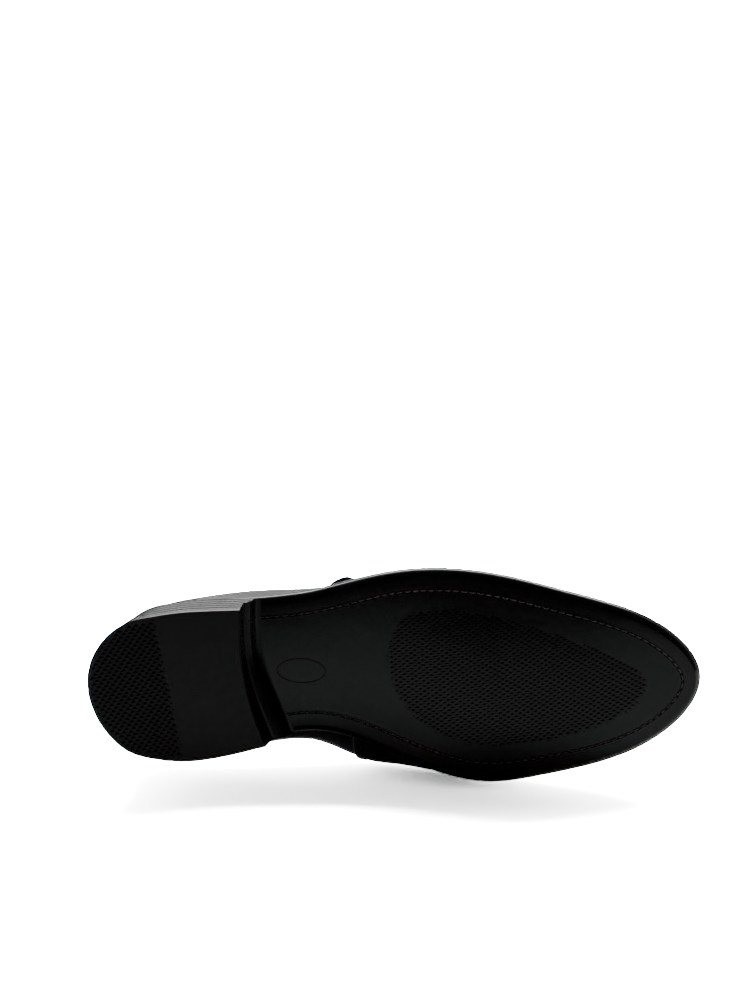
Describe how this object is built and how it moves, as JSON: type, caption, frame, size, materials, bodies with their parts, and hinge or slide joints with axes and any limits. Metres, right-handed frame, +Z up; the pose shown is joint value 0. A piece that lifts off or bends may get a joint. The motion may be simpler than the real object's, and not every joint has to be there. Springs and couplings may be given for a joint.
{
  "type": "lace-up dress shoe",
  "caption": "Black patent lace-up shoe for the right foot, with a plain toe, a stitched rubber sole with a pitted tread oval and a stacked heel with a pitted rear.",
  "frame": {"origin": "centre of the shoe's bounding box in plan, on the ground it stands on (heel top piece and ball of the sole at z 0)", "axes": "+X from heel to toe, +Y towards the inner side of the foot, +Z up"},
  "size_m": [0.3006, 0.1078, 0.1037],
  "materials": {
    "sole_rubber": "semi-gloss moulded rubber",
    "heel_rubber": "semi-gloss moulded rubber",
    "patent_leather": "mirror-gloss patent",
    "lining_leather": "matte grain",
    "tongue_leather": "soft grain",
    "stiffener": "matte resin-stiffened felt",
    "insole_board": "matte fibre board",
    "cork": "matte granular cork",
    "shank_steel": "rolled spring steel",
    "sole_thread": "waxed twisted thread",
    "lace": "waxed braided cotton",
    "aglet_plastic": "gloss film wrap",
    "eyelet_metal": "black lacquered brass"
  },
  "bodies": {
    "shoe": {"outsole": "sole_rubber", "welt": "sole_rubber", "heel_lift_1": "heel_rubber", "heel_lift_2": "heel_rubber", "heel_lift_3": "heel_rubber", "heel_lift_4": "heel_rubber", "heel_lift_5": "heel_rubber", "heel_top_piece": "heel_rubber", "quarter_outer": "patent_leather", "quarter_inner": "patent_leather", "vamp": "patent_leather", "backstay": "patent_leather", "topline_binding": "patent_leather", "quarter_lining_outer": "lining_leather", "quarter_lining_inner": "lining_leather", "vamp_lining": "lining_leather", "insock": "lining_leather", "heel_counter": "stiffener", "toe_puff": "stiffener", "insole_board": "insole_board", "cork_filler": "cork", "shank": "shank_steel", "sole_stitching": "sole_thread", "lace_laced_part": "lace", "lace_knot": "lace", "lace_loop_outer": "lace", "lace_loop_inner": "lace", "lace_end_outer": "lace", "lace_end_inner": "lace", "aglet_outer": "aglet_plastic", "aglet_inner": "aglet_plastic", "eyelet_outer_1": "eyelet_metal", "eyelet_outer_2": "eyelet_metal", "eyelet_outer_3": "eyelet_metal", "eyelet_outer_4": "eyelet_metal", "eyelet_outer_5": "eyelet_metal", "eyelet_inner_1": "eyelet_metal", "eyelet_inner_2": "eyelet_metal", "eyelet_inner_3": "eyelet_metal", "eyelet_inner_4": "eyelet_metal", "eyelet_inner_5": "eyelet_metal"},
    "tongue": {"tongue": "tongue_leather"}
  },
  "joints": [
    {"name": "tongue_fold", "type": "hinge", "parent": "shoe", "child": "tongue", "pos_m": [0.041, 0, 0.058], "axis": [0, -1, 0], "range_deg": [0, 12], "stiffness_Nm_per_rad": 0.3, "springref_deg": -1.15}
  ]
}
